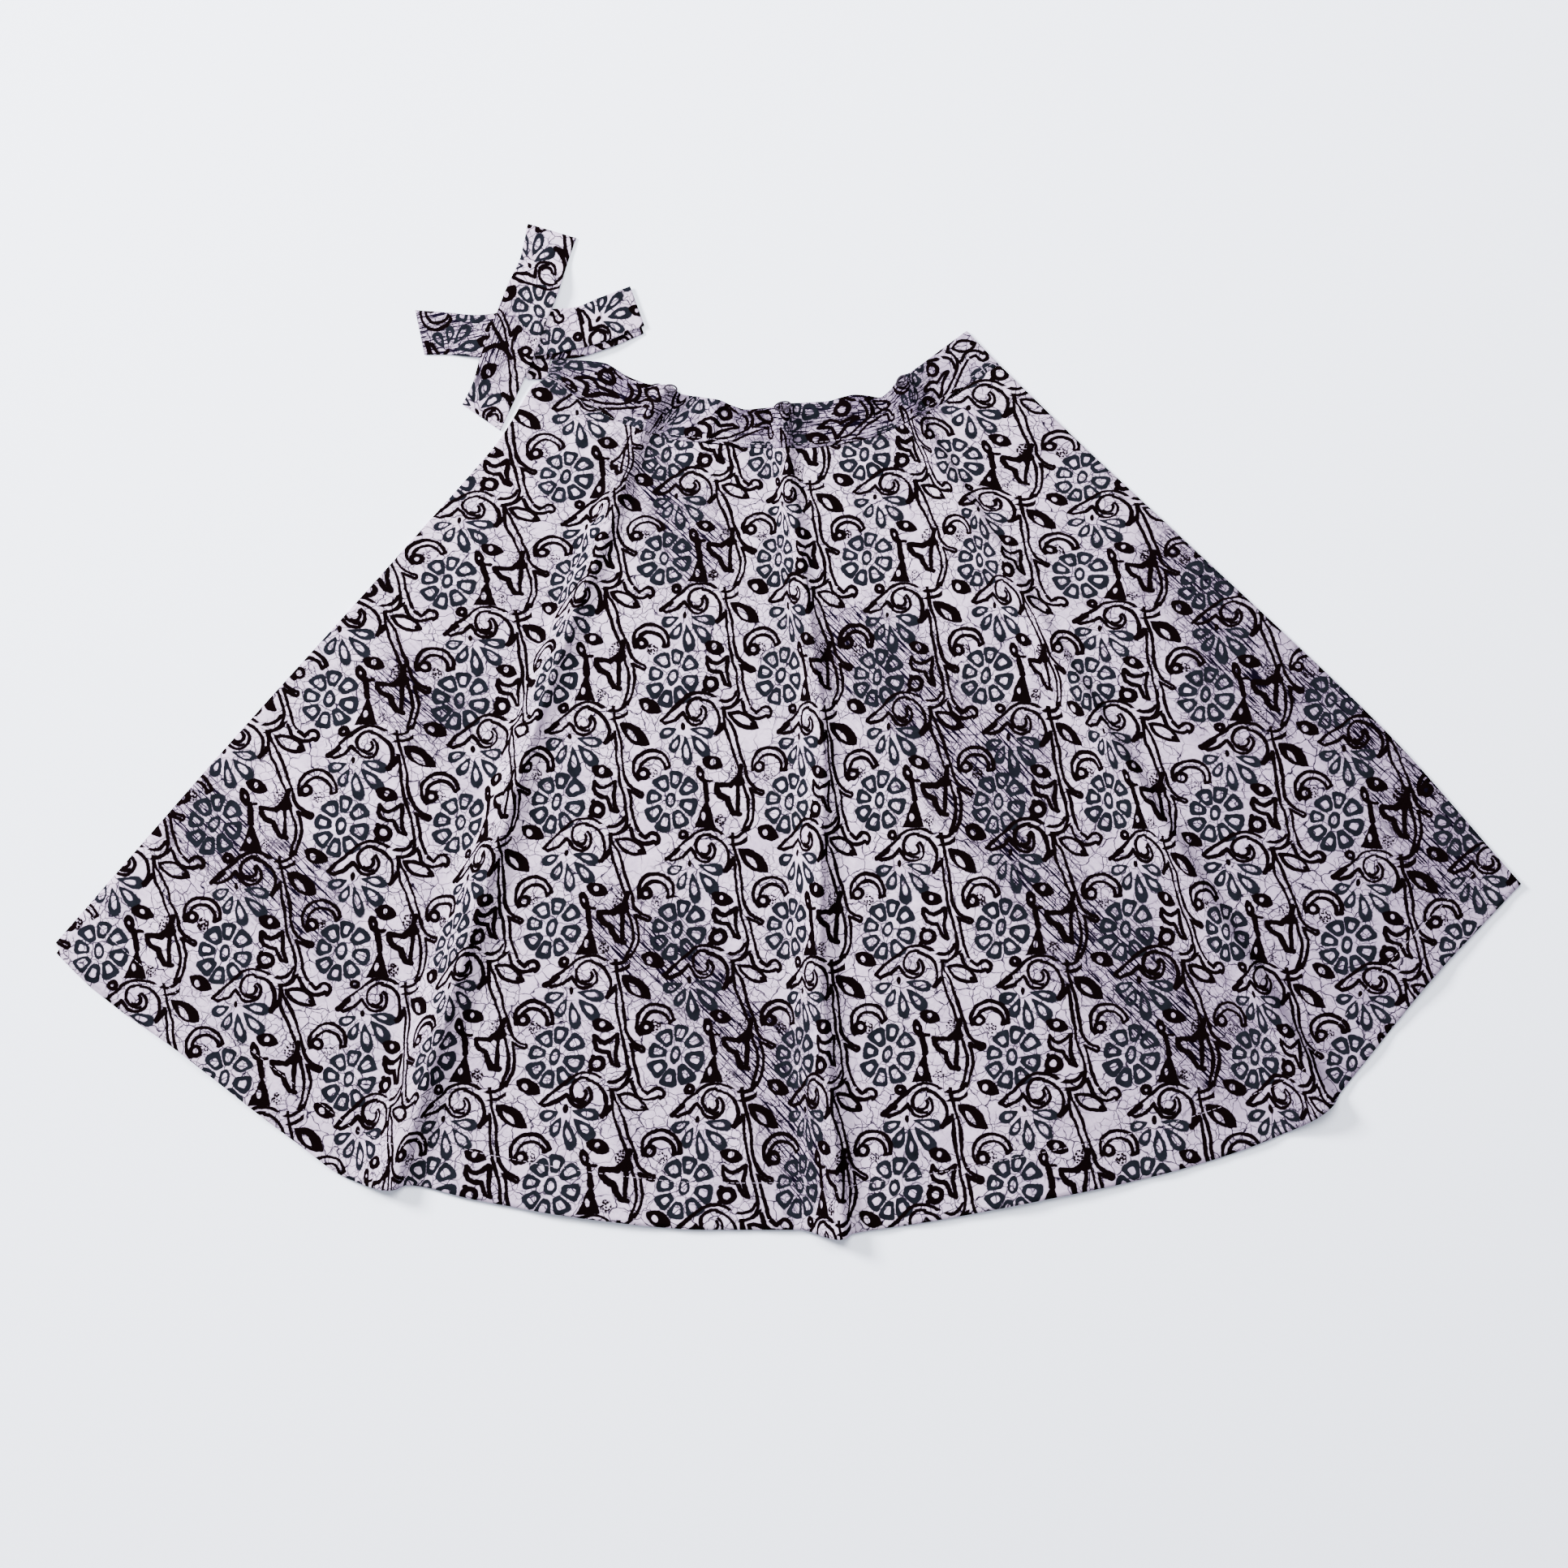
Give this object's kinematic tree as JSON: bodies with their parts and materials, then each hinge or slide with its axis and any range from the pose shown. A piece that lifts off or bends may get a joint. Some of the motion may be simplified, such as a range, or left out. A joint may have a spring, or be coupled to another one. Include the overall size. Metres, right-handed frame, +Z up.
{
  "type": "wrap skirt",
  "caption": "Flared knee-length wrap skirt in printed cotton, laid flat and doubled, with a narrow waistband, tall flutes and crossed ties.",
  "frame": {"origin": "under the middle of the laid-out skirt, on the surface it lies on", "axes": "+Z up, +X towards the folded side of the cloth, +Y towards the waistband"},
  "size_m": [1.118, 0.774, 0.0158],
  "materials": {
    "panel_cotton": "matte printed plain-weave cotton",
    "band_cotton": "matte printed plain-weave cotton",
    "tie_cotton": "matte printed plain-weave cotton"
  },
  "bodies": {
    "root": {"back_panel": "panel_cotton", "front_panel": "panel_cotton", "waistband_back": "band_cotton", "waistband_front": "band_cotton", "tie_root": "tie_cotton", "tie_cross_fold": "tie_cotton", "tie_cross": "tie_cotton", "tie_long": "tie_cotton"}
  },
  "joints": []
}
